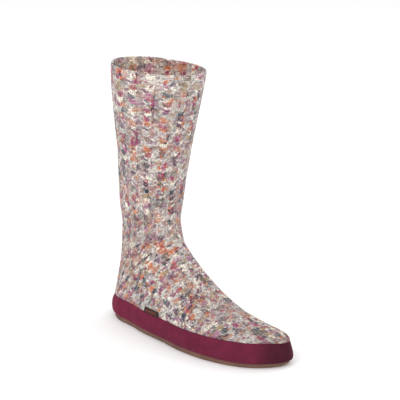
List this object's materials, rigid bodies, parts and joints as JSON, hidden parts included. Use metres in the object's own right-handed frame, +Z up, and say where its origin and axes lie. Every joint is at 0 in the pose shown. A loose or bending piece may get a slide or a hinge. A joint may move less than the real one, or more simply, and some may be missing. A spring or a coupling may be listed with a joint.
{
  "type": "slipper sock",
  "caption": "Tall knitted slipper sock for the right foot with a suede band round a thin flat sole",
  "frame": {"origin": "on the ground, under the middle of the heel, on the outsole's underside", "axes": "+X from heel to toe, +Y toward the inner side of the foot, +Z up along the shaft"},
  "size_m": [0.2573, 0.1043, 0.3014],
  "materials": {
    "marled_knit": "chunky marled knit in cream, grey, lilac, plum, orange and olive yarn",
    "plum_suede": "soft brushed nap",
    "footbed_cloth": "brushed terry cloth over foam",
    "brown_rubber": "matt, finely grained",
    "woven_label": "folded woven tape"
  },
  "bodies": {
    "root": {"knit_upper": "marled_knit", "sole_wrap": "plum_suede", "footbed": "footbed_cloth", "outsole": "brown_rubber", "side_label": "woven_label"}
  },
  "joints": []
}
